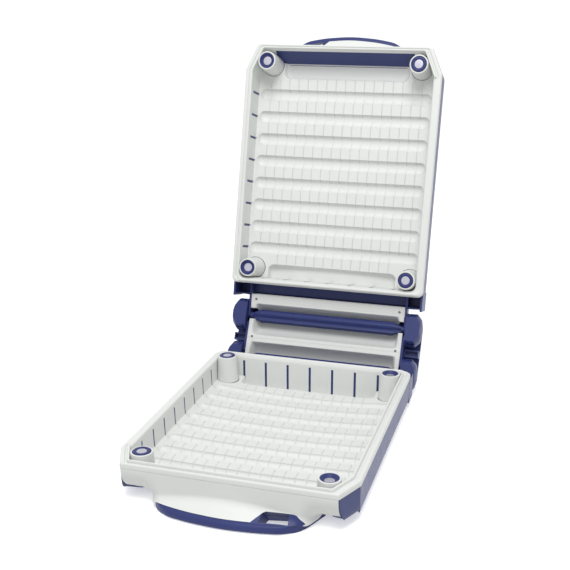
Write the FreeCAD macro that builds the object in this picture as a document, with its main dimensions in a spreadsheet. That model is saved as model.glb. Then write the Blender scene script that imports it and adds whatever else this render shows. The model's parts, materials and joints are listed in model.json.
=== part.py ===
"""A flat hinged carrying case: two equal trays joined by a double-axis spine, standing open.

Frame: millimetres, +X right, +Y to the hinge, +Z up. The origin is the centre of the lower
tray's underside. Both trays are built by the same functions in the lower tray's frame; the
upper one is turned over and swung open about the spine's two hinge axes.
"""
import FreeCAD
import Part
import os
import re
import Sketcher

Vector = FreeCAD.Vector
Placement = FreeCAD.Placement
Rotation = FreeCAD.Rotation

DIMENSIONS = {
    # tray outline
    "half_width": 129.5, "front_edge": 157.5, "rear_edge": 156.3,
    "corner_start": 125.1, "corner_end": 115.0, "rear_corner": 6.0,
    "mating_height": 52.0, "rim_top": 47.5, "rim_bottom": 41.0,
    "floor_top": 20.8, "floor_skin": 2.0, "liner_wall": 1.8,
    # inside of the tray, at the floor and at the rim
    "inner_half_low": 118.3, "inner_half_high": 120.1,
    "inner_front_low": 139.6, "inner_front_high": 152.3,
    "inner_rear_low": 148.2, "inner_rear_high": 149.0,
    "inner_corner": 4.0, "corner_shift_low": 8.0, "corner_shift_high": 2.0,
    "corner_inset_low": 10.0, "corner_inset_high": 3.5,
    "lip_top": 50.0, "lip_width": 1.8, "lip_end_inset": 4.0, "groove_width": 2.4, "groove_depth": 1.5,
    # floor channels and wall slots
    "channel_count": 8, "channel_pitch": 29.2, "channel_first": 96.5,
    "channel_half_length": 114.7, "channel_half_width": 7.75, "channel_depth": 7.0,
    "end_channel_front": 135.0, "end_channel_front_inner": 120.2, "end_channel_rear": 121.5,
    "end_channel_half_length": 84.0, "front_channel_depth": 3.5, "rear_channel_depth": 12.0,
    "end_channel_skin": 1.2, "seam": 0.5, "cut_margin": 0.1,
    "slot_width": 3.0, "slot_bottom": 21.4, "slot_top": 41.3, "slot_depth": 6.0, "rear_slot_bottom": 9.5,
    "rear_slot_count": 7, "rear_slot_pitch": 29.6,
    # outer shell
    "shell_half_width": 129.0, "shell_front": 153.5, "shell_rear": 155.8, "shell_wall": 2.5,
    "shell_corner_end": 116.7, "shell_floor": 3.0, "post_room": 8.0,
    # posts and their inserts
    "post_front_x": 100.0, "post_rear_x": 106.7, "post_y": 135.4,
    "post_top": 51.8, "post_top_radius": 11.85, "post_foot_radius": 14.0, "post_bottom": 18.4,
    "post_clearance": 0.5, "boss_radius": 9.0,
    "insert_radius": 9.4, "socket_radius": 10.0, "insert_bottom": 43.0,
    "plug_top": 53.6, "socket_floor": 48.8, "disc_radius": 5.5, "disc_height": 2.0,
    # front fascia and handle
    "fascia_half_top": 114.5, "fascia_half_middle": 104.0, "fascia_half_low": 88.0,
    "crease_height": 19.5, "crease_front": 157.0, "pedestal_front": 177.0,
    "handle_height": 9.5, "handle_front": 179.2, "bow_radius": 211.0,
    "handle_half": 77.5, "handle_foot_half": 88.0, "handle_foot_front": 139.5,
    "handle_back": 112.0, "handle_corner": 15.0,
    "loop_low": 25.0, "loop_slot_low": 38.0, "loop_slot_high": 65.0,
    "loop_slot_front": 172.0, "loop_slot_back": 160.0,
    "ledge_lip": 0.7, "foot_setback": 12.0, "fascia_setback": 8.0,
    "front_window_half": 82.0, "front_window_low": 26.0, "front_window_high": 40.0,
    "window_reach": 3.0, "window_gap": 0.7, "window_panel_thickness": 1.0,
    # spine: each axis is the same distance from its own tray
    "axis_y": 201.0, "axis_height": 22.2, "axis_spacing": 59.6,
    "rod_radius": 9.0, "rod_half": 91.0, "rod_taper_end": 103.0, "core_radius": 4.4,
    "core_half": 117.0, "flute_radius": 1.7, "flute_count": 10,
    "arm_inner": 105.9, "arm_outer": 108.6, "arm_low": 14.4, "arm_high": 29.0, "eye_radius": 7.4,
    "bay_wall_inner": 126.0, "bay_wall_outer": 129.0, "bay_end": 174.6, "bay_low": 6.0,
    "bay_high": 38.0, "rung_y": 171.4, "rung_half": 1.0, "band_top": 14.6, "band_end": 170.9,
    "bay_foot_half": 110.0, "bay_foot_end": 172.4,
    "arm_web_low": 2.0, "foot_overlap": 12.0,
    "strip_half": 105.5, "strip_start": 171.2, "strip_end": 190.8, "strip_top": 28.0,
    "strip_bottom": 16.0, "scoop_half": 97.0, "strip_scoop_radius": 17.3,
    "screw_x": 98.7, "strip_screw_y": 178.1, "screw_radius": 1.5, "screw_length": 8.0,
    "screw_sink": 0.4, "hollow_end_gap": 4.0, "hollow_width": 8.2, "flute_offset": 0.4,
    "cap_radius": 20.7, "cap_inner": 109.0, "cap_outer": 127.7, "cap_dome": 2.5,
    "cap_dome_radius": 15.0, "cap_facet": 13.7, "socket_recess_radius": 7.4,
    "socket_recess_depth": 3.0, "core_clearance": 0.05, "bore_end": 118.0,
    "cover_wall": 2.5, "cover_front": 8.7, "end_web_gap": 0.1,
    "panel_front": 6.8, "panel_back": 13.2, "panel_margin": 10.0, "panel_skin": 2.2,
    "scoop_offset": 11.93, "scoop_radius": 22.93,
    "boss_half": 3.5, "boss_half_height": 4.0, "recess_edge": 1.5,
    "ladder_half": 5.0, "ladder_front": 5.5, "ladder_rung": 2.2, "ladder_recess": 6.0,
}

# how far each shell section is drawn in from the outline: height, sides, front, rear
SHELL_SECTIONS = (
    (41.0, 0.0, 0.0, 0.0), (22.0, 0.5, 4.0, 0.0), (8.0, 8.0, 18.0, 2.0), (0.0, 16.0, 40.0, 5.0),
)
INNER_SECTIONS = (
    (42.0, 0.0, -0.5, 0.0), (23.0, 0.5, 4.0, 0.0), (10.0, 8.0, 18.0, 2.0), (3.0, 16.0, 40.0, 5.0),
)

SPINE_SWING = 29.0
LID_SWING = 77.0

ALONG_X = Rotation(Vector(0, 1, 0), 90)
ALONG_Y = Rotation(Vector(1, 0, 0), -90)
PROFILE_PLANE = Rotation(Vector(1, 1, 1), 120)

doc = FreeCAD.newDocument("hinged_case")
sheet = doc.addObject("Spreadsheet::Sheet", "dims")
for row, (alias, value) in enumerate(DIMENSIONS.items(), start=1):
    sheet.set("A%d" % row, alias)
    sheet.set("B%d" % row, str(value))
    sheet.setAlias("B%d" % row, alias)
doc.recompute()


def cells(text):
    """Turns the dimension names in an expression into references to the sheet."""
    return re.sub(r"[a-z][a-z_]*", r"dims.\g<0>", str(text))


def number(text):
    return float(sheet.evalExpression(cells(text)))


def place(solid, x, y, z, rotation=None):
    if rotation:
        solid.Placement = Placement(Vector(), rotation)
    for axis, text in (("x", x), ("y", y), ("z", z)):
        solid.setExpression("Placement.Base." + axis, cells(text))
    return solid


def box(name, x, y, z):
    """A block between low and high values along each axis."""
    solid = doc.addObject("Part::Box", name)
    for side, (low, high) in zip(("Length", "Width", "Height"), (x, y, z)):
        solid.setExpression(side, cells("(%s) - (%s)" % (high, low)))
    return place(solid, x[0], y[0], z[0])


def cylinder(name, radius, x, y, z, length, rotation=None):
    solid = doc.addObject("Part::Cylinder", name)
    solid.setExpression("Radius", cells(radius))
    solid.setExpression("Height", cells(length))
    return place(solid, x, y, z, rotation)


def cone(name, radius_start, radius_end, x, y, z, length, rotation=None):
    solid = doc.addObject("Part::Cone", name)
    solid.setExpression("Radius1", cells(radius_start))
    solid.setExpression("Radius2", cells(radius_end))
    solid.setExpression("Height", cells(length))
    return place(solid, x, y, z, rotation)


def fuse(name, solids):
    joined = doc.addObject("Part::MultiFuse", name)
    joined.Shapes = solids
    joined.Refine = True
    return joined


def cut(name, solid, tools):
    result = doc.addObject("Part::Cut", name)
    result.Base = solid
    result.Tool = tools[0] if len(tools) == 1 else fuse(name + "_tools", tools)
    result.Refine = True
    return result


def common(name, solids):
    shared = doc.addObject("Part::MultiCommon", name)
    shared.Shapes = solids
    shared.Refine = True
    return shared


def group(name, solids):
    """Separate identical solids kept as one piece group."""
    together = doc.addObject("Part::Compound", name)
    together.Links = solids
    return together


def outline(name, points, level=0, rotation=None):
    """A closed sketch whose corners are bound to the sheet; level is its Z, or its X when it is turned."""
    sketch = doc.addObject("Sketcher::SketchObject", name)
    spots = [Vector(number(x), number(y), 0) for x, y in points]
    count = len(spots)
    for i in range(count):
        sketch.addGeometry(Part.LineSegment(spots[i], spots[(i + 1) % count]), False)
    for i in range(count):
        sketch.addConstraint(Sketcher.Constraint("Coincident", i, 2, (i + 1) % count, 1))
    for i, point in enumerate(points):
        for kind, text in zip(("DistanceX", "DistanceY"), point):
            index = sketch.addConstraint(Sketcher.Constraint(kind, -1, 1, i, 1, number(text)))
            sketch.setExpression("Constraints[%d]" % index, cells(text))
    if rotation is None:
        return place(sketch, 0, 0, level)
    return place(sketch, level, 0, 0, rotation)


def prism(name, points, low, high, rotation=None):
    """An outline given depth: upwards, or along X when its plane is turned."""
    extrusion = doc.addObject("Part::Extrusion", name)
    extrusion.Base = outline(name + "_outline", points, low, rotation)
    extrusion.DirMode = "Normal"
    extrusion.setExpression("LengthFwd", cells("(%s) - (%s)" % (high, low)))
    extrusion.Solid = True
    return extrusion


def loft(name, sections):
    solid = doc.addObject("Part::Loft", name)
    solid.Sections = sections
    solid.Solid = True
    solid.Ruled = True
    return solid


def tray_points(half, front, rear, corner_y, corner_x, rear_corner):
    """The tray's plan outline: cut-off front corners and small rear ones."""
    right = [
        (corner_x, "-(%s)" % front), (half, "-(%s)" % corner_y),
        (half, "(%s) - (%s)" % (rear, rear_corner)), ("(%s) - (%s)" % (half, rear_corner), rear),
    ]
    left = [("-(%s)" % x, y) for x, y in reversed(right)]
    return right + left


def shell_section(name, z, sides, front, rear, wall):
    points = tray_points(
        "shell_half_width - %s - (%s)" % (sides, wall),
        "shell_front - %s - (%s)" % (front, wall),
        "shell_rear - %s - (%s)" % (rear, wall),
        "corner_start - %s" % front,
        "shell_corner_end - %s - (%s)" % (sides, wall),
        "rear_corner",
    )
    return outline(name, points, z)


def shell_outer(name):
    return loft(name, [
        shell_section("%s_section_%d" % (name, i), z, sides, front, rear, "0")
        for i, (z, sides, front, rear) in enumerate(SHELL_SECTIONS)
    ])


def shell_inner(name):
    return loft(name, [
        shell_section("%s_section_%d" % (name, i), z, sides, front, rear, "shell_wall")
        for i, (z, sides, front, rear) in enumerate(INNER_SECTIONS)
    ])


def post_spots():
    """Name, X and Y of each post; the two on the left carry plugs, the two on the right sockets."""
    return (
        ("front_left", "-post_front_x", "-post_y"), ("front_right", "post_front_x", "-post_y"),
        ("rear_left", "-post_rear_x", "post_y"), ("rear_right", "post_rear_x", "post_y"),
    )


def mirrored_box(name, x, y, z):
    """A block and its mirror image on the other side of the middle."""
    return [
        box(name + "_right", x, y, z),
        box(name + "_left", ("-(%s)" % x[1], "-(%s)" % x[0]), y, z),
    ]


def make_shell(tray):
    """Blue outer shell with the hinge bay, its arms, and a boss under each post."""
    name = tray + "_shell"
    outer = shell_outer(name + "_outer")
    hollow = cut(name + "_hollow", outer, [shell_inner(name + "_inner")])
    bosses = [
        common("%s_boss_%s" % (name, spot), [
            cylinder("%s_boss_rod_%s" % (name, spot), "boss_radius", x, y, 0, "post_bottom"),
            shell_outer("%s_boss_limit_%s" % (name, spot)),
        ])
        for spot, x, y in post_spots()
    ]
    bay_start = "shell_rear - shell_wall"
    bay = mirrored_box(name + "_bay_wall", ("bay_wall_inner", "bay_wall_outer"),
                       (bay_start, "bay_end"), ("bay_low", "bay_high"))
    bay += mirrored_box(name + "_arm", ("arm_inner", "arm_outer"), (bay_start, "axis_y"),
                        ("arm_low", "arm_high"))
    bay += mirrored_box(name + "_arm_web", ("arm_inner", "arm_outer"), (bay_start, "bay_foot_end"),
                        ("arm_web_low", "arm_high"))
    bay += mirrored_box(name + "_rung", ("arm_inner", "bay_wall_outer"),
                        ("rung_y - rung_half", "rung_y + rung_half"), ("bay_low", "arm_high"))
    bay += mirrored_box(name + "_bay_floor", ("arm_inner", "bay_wall_outer"),
                        (bay_start, "bay_foot_end"), ("bay_low", "bay_low + shell_wall"))
    bay.append(box(name + "_band", ("-arm_outer", "arm_outer"), (bay_start, "band_end"),
                   ("band_top - shell_wall", "band_top")))
    bay.append(box(name + "_foot", ("-bay_foot_half", "bay_foot_half"),
                   ("shell_rear - foot_overlap", "bay_foot_end"), ("0", "shell_floor")))
    bay.append(box(name + "_foot_web", ("-bay_foot_half", "bay_foot_half"),
                   ("band_end - shell_wall", "band_end"), ("0", "band_top")))
    eyes = [
        cylinder("%s_eye_%s" % (name, side), "eye_radius", x, "axis_y", "axis_height",
                 "arm_outer - arm_inner", ALONG_X)
        for side, x in (("right", "arm_inner"), ("left", "-arm_outer"))
    ]
    solid = fuse(name + "_solid", [hollow] + bosses + bay + eyes)
    bore = cylinder(name + "_bore", "core_radius", "-arm_outer - 1", "axis_y", "axis_height",
                    "2 * arm_outer + 2", ALONG_X)
    return cut(name, solid, [bore])


def wall_points(level, grow, corner_grow):
    """The tray's inner outline at the floor (low) or the rim (high), moved outwards by grow."""
    return tray_points("inner_half_%s + %s" % (level, grow), "inner_front_%s + %s" % (level, grow),
                       "inner_rear_%s + %s" % (level, grow), "corner_start - corner_shift_%s" % level,
                       "corner_end - corner_inset_%s + %s" % (level, corner_grow), "inner_corner")


def make_liner(tray):
    """White inner tray: rim, walls with slots, and a floor pressed into channels."""
    name = tray + "_liner"
    rim = prism(name + "_rim", tray_points("half_width", "front_edge", "rear_edge", "corner_start",
                                           "corner_end", "rear_corner"), "rim_bottom", "rim_top")
    skin = loft(name + "_skin", [
        outline(name + "_skin_low", wall_points("low", "liner_wall", "seam"), "floor_top - floor_skin"),
        outline(name + "_skin_high", wall_points("high", "liner_wall", "seam"), "rim_top"),
    ])
    cavity = loft(name + "_cavity", [
        outline(name + "_cavity_low", wall_points("low", "0", "0"), "floor_top"),
        outline(name + "_cavity_high", wall_points("high", "0", "0"), "rim_top + cut_margin"),
    ])
    lip_length = ("-(corner_start - corner_shift_high)", "post_y")
    lip_end = "corner_end - lip_end_inset"
    lip = [
        box(name + "_lip", ("inner_half_high", "inner_half_high + lip_width"), lip_length,
            ("rim_bottom", "lip_top")),
        box(name + "_front_lip", ("-(%s)" % lip_end, lip_end),
            ("-(inner_front_high + lip_width)", "-inner_front_high"), ("rim_bottom", "lip_top")),
    ]
    groove = box(name + "_groove",
                 ("inner_half_high + lip_width", "inner_half_high + lip_width + groove_width"), lip_length,
                 ("rim_top - groove_depth", "rim_top + cut_margin"))
    channels = []
    backs = []
    for i in range(int(number("channel_count"))):
        y = "%d * channel_pitch - channel_first" % i
        for store, kind, grow, depth in ((channels, "channel", "0", "channel_depth"),
                                         (backs, "channel_back", "liner_wall", "channel_depth + floor_skin")):
            half = "channel_half_width + %s" % grow
            straight = "channel_half_length - channel_half_width"
            top = "floor_top + cut_margin" if kind == "channel" else "floor_top - seam"
            bottom = "floor_top - (%s)" % depth
            label = "%s_%s_%d" % (name, kind, i)
            store.append(box(label, ("-(%s)" % straight, straight),
                             ("%s - (%s)" % (y, half), "%s + %s" % (y, half)), (bottom, top)))
            for side, x in (("left", "-(%s)" % straight), ("right", straight)):
                store.append(cylinder("%s_%s" % (label, side), half, x, y, bottom,
                                      "(%s) - (%s)" % (top, bottom)))
    ends = (("front", "-end_channel_front", "-end_channel_front_inner", "front_channel_depth"),
            ("rear", "end_channel_rear", "inner_rear_low", "rear_channel_depth"))
    for end, near, far, depth in ends:
        channels.append(box("%s_end_%s" % (name, end),
                            ("-end_channel_half_length", "end_channel_half_length"), (near, far),
                            ("floor_top - %s" % depth, "floor_top + cut_margin")))
        backs.append(box("%s_end_back_%s" % (name, end),
                         ("-(end_channel_half_length + liner_wall)", "end_channel_half_length + liner_wall"),
                         ("%s - end_channel_skin" % near, "%s + end_channel_skin" % far),
                         ("floor_top - %s - end_channel_skin" % depth, "floor_top - seam")))
    slots = []
    for i in range(int(number("channel_count"))):
        y = "%d * channel_pitch - channel_first" % i
        slots += mirrored_box("%s_slot_%d" % (name, i), ("inner_half_low - 1", "inner_half_low + slot_depth"),
                              ("%s - slot_width / 2" % y, "%s + slot_width / 2" % y),
                              ("slot_bottom", "slot_top"))
    for i in range(int(number("rear_slot_count"))):
        x = "(%d - (rear_slot_count - 1) / 2) * rear_slot_pitch" % i
        slots.append(box("%s_rear_slot_%d" % (name, i),
                         ("%s - slot_width / 2" % x, "%s + slot_width / 2" % x),
                         ("inner_rear_low - 1", "inner_rear_low + slot_depth"),
                         ("rear_slot_bottom", "slot_top")))
    window = box(name + "_window", ("-front_window_half", "front_window_half"),
                 ("-(inner_front_high + liner_wall + seam)", "-(inner_front_low - window_reach)"),
                 ("front_window_low", "front_window_high"))
    post_holes = [
        cone("%s_post_hole_%s" % (name, spot), "post_foot_radius + post_clearance",
             "post_top_radius + post_clearance", x, y, "post_bottom - post_room",
             "post_top - post_bottom + post_room")
        for spot, x, y in post_spots()
    ]
    solid = fuse(name + "_solid", [rim, skin] + backs)
    return cut(name, fuse(name + "_lipped", [cut(name + "_open", solid, [cavity])] + lip),
               [groove, window] + channels + slots + post_holes)


def make_window_panel(tray):
    """Blue panel that fills the window in the liner's front wall."""
    name = tray + "_window_panel"
    rise = "((inner_front_high - inner_front_low) / (rim_top + cut_margin - floor_top))"
    low = "inner_front_low + %s * (front_window_low - floor_top)" % rise
    high = "inner_front_low + %s * (front_window_high - floor_top)" % rise
    points = [
        ("-(%s) - window_gap - window_panel_thickness" % low, "front_window_low"),
        ("-(%s) - window_gap" % low, "front_window_low"),
        ("-(%s) - window_gap" % high, "front_window_high"),
        ("-(%s) - window_gap - window_panel_thickness" % high, "front_window_high"),
    ]
    return prism(name, points, "-front_window_half", "front_window_half", PROFILE_PLANE)


def bow(name, front, half, low, high):
    """A slab whose front edge is a long arc."""
    disc = cylinder(name + "_disc", "bow_radius", 0, "bow_radius - (%s)" % front, low,
                    "(%s) - (%s)" % (high, low))
    slab = box(name + "_slab", ("-(%s)" % half, half), ("-(%s) - 1" % front, "-handle_back"), (low, high))
    shape = common(name + "_sharp", [disc, slab])
    doc.recompute()
    rounded = doc.addObject("Part::Fillet", name)
    rounded.Base = shape
    corners = [
        i + 1 for i, edge in enumerate(shape.Shape.Edges)
        if abs(edge.tangentAt(edge.FirstParameter).z) > 0.99 and edge.CenterOfMass.y < -number("crease_front")
    ]
    radius = number("handle_corner")
    rounded.Edges = [(i, radius, radius) for i in corners]
    return rounded


def pedestal(name):
    """The sloping ledge between the crease and the handle strip."""
    slab = bow(name + "_bow", "pedestal_front", "handle_half - 1", "handle_height", "crease_height")
    points = [
        ("-crease_front", "crease_height"), ("-pedestal_front", "handle_height + ledge_lip"),
        ("-pedestal_front - handle_height", "2 * crease_height"), ("-crease_front", "2 * crease_height"),
    ]
    above = prism(name + "_above", points, "-handle_foot_half", "handle_foot_half", PROFILE_PLANE)
    return cut(name, slab, [above])


def loop_zone(name):
    """The block of the ledge that belongs to the handle's lanyard loop."""
    return box(name, ("loop_low", "handle_foot_half"), ("-handle_front - 1", "-crease_front - seam"),
               ("-1", "crease_height + 1"))


def make_fascia(tray):
    """White front fascia that carries the handle."""
    name = tray + "_front_fascia"
    top = [("fascia_half_top", "-front_edge"), ("fascia_half_top", "-handle_back"),
           ("-fascia_half_top", "-handle_back"), ("-fascia_half_top", "-front_edge")]
    middle = [("fascia_half_middle", "-crease_front"), ("fascia_half_middle", "-handle_back"),
              ("-fascia_half_middle", "-handle_back"), ("-fascia_half_middle", "-crease_front")]
    low_front = "-(handle_foot_front + fascia_setback)"
    low = [("fascia_half_low", low_front), ("fascia_half_low", "-handle_back"),
           ("-fascia_half_low", "-handle_back"), ("-fascia_half_low", low_front)]
    face = loft(name + "_face", [
        outline(name + "_top", top, "rim_bottom"), outline(name + "_middle", middle, "crease_height"),
        outline(name + "_low", low, "handle_height"),
    ])
    ledge = cut(name + "_ledge", pedestal(name + "_pedestal"), [loop_zone(name + "_loop_zone")])
    return cut(name, fuse(name + "_solid", [face, ledge]), [shell_outer(name + "_shell_room")])


def make_handle(tray):
    """Blue carrying handle: a bowed strip with a lanyard loop at one end."""
    name = tray + "_handle_grip"
    strip = bow(name + "_strip", "handle_front", "handle_half", "0", "handle_height")
    right = [("handle_half", "-(handle_foot_front + foot_setback)"),
             ("handle_foot_half", "-handle_foot_front"), ("handle_foot_half", "-handle_back")]
    left = [("-%s" % x, y) for x, y in reversed(right)]
    foot = prism(name + "_foot", right + left, "0", "handle_height")
    loop = common(name + "_loop", [pedestal(name + "_pedestal"), loop_zone(name + "_loop_zone")])
    slot = box(name + "_slot", ("loop_slot_low", "loop_slot_high"), ("-loop_slot_front", "-loop_slot_back"),
               ("-1", "crease_height + 1"))
    return cut(name, fuse(name + "_solid", [strip, foot, loop]), [slot, shell_outer(name + "_shell_room")])


def make_posts(tray):
    """Four tapered posts that hold the two trays apart when they are closed."""
    posts = {}
    for spot, x, y in post_spots():
        name = "%s_post_%s" % (tray, spot)
        body = cone(name + "_body", "post_foot_radius", "post_top_radius", x, y, "post_bottom",
                    "post_top - post_bottom")
        hole = cylinder(name + "_hole", "socket_radius", x, y, "insert_bottom",
                        "post_top - insert_bottom + 1")
        room = fuse(name + "_room", [
            shell_inner(name + "_room_low"),
            box(name + "_room_high", ("-half_width", "half_width"), ("-front_edge", "rear_edge"),
                ("rim_bottom", "post_top + 1")),
        ])
        posts[name] = cut(name, common(name + "_trimmed", [body, room]), [hole])
    return posts


def make_inserts(tray, kind, top, spots):
    """The inserts of one kind: plugs stand proud of their posts, sockets are sunk."""
    solids = []
    for spot, x, y in spots:
        name = "%s_%s_%s" % (tray, kind, spot)
        radius = "insert_radius" if kind == "plug" else "socket_radius"
        body = cylinder(name + "_body", radius, x, y, "insert_bottom", "%s - insert_bottom" % top)
        pocket = cylinder(name + "_pocket", "disc_radius", x, y, "%s - disc_height" % top, "disc_height + 1")
        solids.append(cut(name, body, [pocket]))
    return group("%s_post_%ss" % (tray, kind), solids)


def make_discs(tray):
    """Round magnets, one in each insert."""
    tops = {"left": "plug_top", "right": "socket_floor"}
    return group(tray + "_magnets", [
        cylinder("%s_magnet_%s" % (tray, spot), "disc_radius", x, y,
                 "%s - disc_height" % tops[spot.split("_")[1]], "disc_height")
        for spot, x, y in post_spots()
    ])


def make_strip(tray):
    """White cover strip in front of the hinge rod."""
    name = tray + "_hinge_strip"
    block = box(name + "_block", ("-strip_half", "strip_half"), ("strip_start", "strip_end"),
                ("strip_bottom", "strip_top"))
    scoop = cylinder(name + "_scoop", "strip_scoop_radius", "-scoop_half", "axis_y", "axis_height",
                     "2 * scoop_half", ALONG_X)
    hollow = box(name + "_hollow", ("-(scoop_half - hollow_end_gap)", "scoop_half - hollow_end_gap"),
                 ("strip_start + liner_wall", "strip_start + liner_wall + hollow_width"),
                 ("strip_bottom - 1", "strip_top - panel_skin"))
    holes = [
        cylinder("%s_hole_%s" % (name, side), "screw_radius", x, "strip_screw_y",
                 "strip_top - screw_length", "screw_length + 1")
        for side, x in (("left", "-screw_x"), ("right", "screw_x"))
    ]
    return cut(name, block, [scoop, hollow] + holes)


def make_strip_screws(tray):
    return group(tray + "_strip_screws", [
        cylinder("%s_strip_screw_%s" % (tray, side), "screw_radius", x, "strip_screw_y",
                 "strip_top - screw_length", "screw_length - screw_sink")
        for side, x in (("left", "-screw_x"), ("right", "screw_x"))
    ])


def make_rod(tray):
    """Fluted hinge rod: it tapers to a core that runs through the arms into the caps."""
    name = tray + "_hinge_rod"
    at = ("axis_y", "axis_height")
    middle = cylinder(name + "_middle", "rod_radius", "-rod_half", *at, "2 * rod_half", ALONG_X)
    core = cylinder(name + "_core", "core_radius", "-core_half", *at, "2 * core_half", ALONG_X)
    taper_right = cone(name + "_taper_right", "rod_radius", "core_radius", "rod_half", *at,
                       "rod_taper_end - rod_half", ALONG_X)
    taper_left = cone(name + "_taper_left", "core_radius", "rod_radius", "-rod_taper_end", *at,
                      "rod_taper_end - rod_half", ALONG_X)
    flutes = []
    count = int(number("flute_count"))
    for i in range(count):
        turn = Rotation(Vector(1, 0, 0), 360.0 * i / count)
        offset = turn.multVec(Vector(0, 1, 0))
        flutes.append(cylinder(
            "%s_flute_%d" % (name, i), "flute_radius", "-rod_taper_end",
            "axis_y + (%.6f) * (rod_radius + flute_offset)" % offset.y,
            "axis_height + (%.6f) * (rod_radius + flute_offset)" % offset.z, "2 * rod_taper_end", ALONG_X))
    return cut(name, fuse(name + "_solid", [middle, core, taper_right, taper_left]), flutes)


def spine_levels():
    """Name and height of the two hinge axes, with the spine upright."""
    return (("lower", "axis_height"), ("upper", "axis_height + axis_spacing"))


def make_caps():
    """The four round cheeks that hold the rods' ends."""
    caps = {}
    for level, z in spine_levels():
        for side, sign in (("left", "-"), ("right", "")):
            name = "spine_cap_%s_%s" % (level, side)
            start = "cap_inner" if side == "right" else "-cap_outer"
            drum = cylinder(name + "_drum", "cap_radius", start, "axis_y", z, "cap_outer - cap_inner",
                            ALONG_X)
            if side == "right":
                dome = cone(name + "_dome", "cap_radius", "cap_dome_radius", "cap_outer", "axis_y", z,
                            "cap_dome", ALONG_X)
            else:
                dome = cone(name + "_dome", "cap_dome_radius", "cap_radius", "-cap_outer - cap_dome",
                            "axis_y", z, "cap_dome", ALONG_X)
            facet = box(name + "_facet", ("-(cap_outer + cap_dome + 1)", "cap_outer + cap_dome + 1"),
                        ("axis_y - cap_radius - 1", "axis_y - cap_facet"),
                        ("%s - cap_radius" % z, "%s + cap_radius" % z))
            bore_start = "cap_inner - 1" if side == "right" else "-bore_end"
            bore = cylinder(name + "_bore", "core_radius + core_clearance", bore_start, "axis_y", z,
                            "bore_end - cap_inner + 1", ALONG_X)
            recess_start = "cap_inner - 1" if side == "right" else "-(cap_inner + socket_recess_depth)"
            recess = cylinder(name + "_recess", "socket_recess_radius", recess_start, "axis_y", z,
                              "socket_recess_depth + 1", ALONG_X)
            caps[name] = cut(name, fuse(name + "_solid", [drum, dome]), [facet, bore, recess])
    return caps


def stadium(name, radius, half):
    """A solid with the spine's rounded outline, reaching the same way to both sides."""
    parts = [box(name + "_middle", ("-(%s)" % half, half), ("axis_y", "axis_y + %s" % radius),
                 ("axis_height", "axis_height + axis_spacing"))]
    for level, z in spine_levels():
        parts.append(cylinder("%s_%s" % (name, level), radius, "-(%s)" % half, "axis_y", z,
                              "2 * (%s)" % half, ALONG_X))
    return fuse(name, parts)


def make_cover():
    """Blue back cover of the spine."""
    name = "spine_cover"
    outer = stadium(name + "_outer", "cap_radius", "cap_inner")
    inner = stadium(name + "_inner", "(cap_radius - cover_wall)", "cap_inner + 1")
    front = box(name + "_front", ("-(cap_inner + 2)", "cap_inner + 2"),
                ("axis_y - cap_radius - 1", "axis_y + cover_front"),
                ("axis_height - cap_radius - 1", "axis_height + axis_spacing + cap_radius + 1"))
    return cut(name, outer, [inner, front])


def make_panel():
    """White inner panel of the spine with a scoop for each rod."""
    name = "spine_panel"
    low = "axis_height + panel_margin"
    high = "axis_height + axis_spacing - panel_margin"
    block = box(name + "_block", ("-strip_half", "strip_half"),
                ("axis_y - panel_front", "axis_y + panel_back"), (low, high))
    scoops = []
    walls = []
    for level, z in spine_levels():
        scoops.append(cylinder("%s_scoop_%s" % (name, level), "scoop_radius", "-scoop_half",
                               "axis_y - scoop_offset", z, "2 * scoop_half", ALONG_X))
        walls.append(cylinder("%s_wall_%s" % (name, level), "scoop_radius + panel_skin",
                              "-(scoop_half + panel_skin)", "axis_y - scoop_offset", z,
                              "2 * (scoop_half + panel_skin)", ALONG_X))
    room = box(name + "_room", ("-(strip_half - panel_skin)", "strip_half - panel_skin"),
               ("axis_y - panel_front + panel_skin", "axis_y + panel_back + 1"),
               ("%s + panel_skin" % low, "%s - panel_skin" % high))
    screw_bosses = [
        box("%s_boss_%s" % (name, side), ("%s - boss_half" % x, "%s + boss_half" % x),
            ("axis_y - panel_front", "axis_y + panel_back"),
            ("axis_height + axis_spacing / 2 - boss_half_height",
             "axis_height + axis_spacing / 2 + boss_half_height"))
        for side, x in (("left", "-screw_x"), ("right", "screw_x"))
    ]
    cavity = cut(name + "_cavity", room, walls + screw_bosses)
    holes = [
        cylinder("%s_hole_%s" % (name, side), "screw_radius", x, "axis_y - panel_front - 1",
                 "axis_height + axis_spacing / 2", "screw_length + 1", ALONG_Y)
        for side, x in (("left", "-screw_x"), ("right", "screw_x"))
    ]
    return cut(name, block, scoops + [cavity] + holes)


def make_spine_screws():
    return group("spine_screws", [
        cylinder("spine_screw_%s" % side, "screw_radius", x, "axis_y - panel_front + screw_sink",
                 "axis_height + axis_spacing / 2", "screw_length - screw_sink", ALONG_Y)
        for side, x in (("left", "-screw_x"), ("right", "screw_x"))
    ])


def make_side_plates():
    plates = {}
    low = "axis_height + panel_margin"
    high = "axis_height + axis_spacing - panel_margin"
    for side, x in (("left", ("-arm_outer", "-strip_half")), ("right", ("strip_half", "arm_outer"))):
        name = "spine_side_plate_" + side
        front = "axis_y - panel_front"
        back = "axis_y + cap_radius - cover_wall"
        profile = [(front, low), (back, low), (back, high), (front, high)]
        plates[name] = prism(name, profile, *x, PROFILE_PLANE)
    return plates


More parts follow.
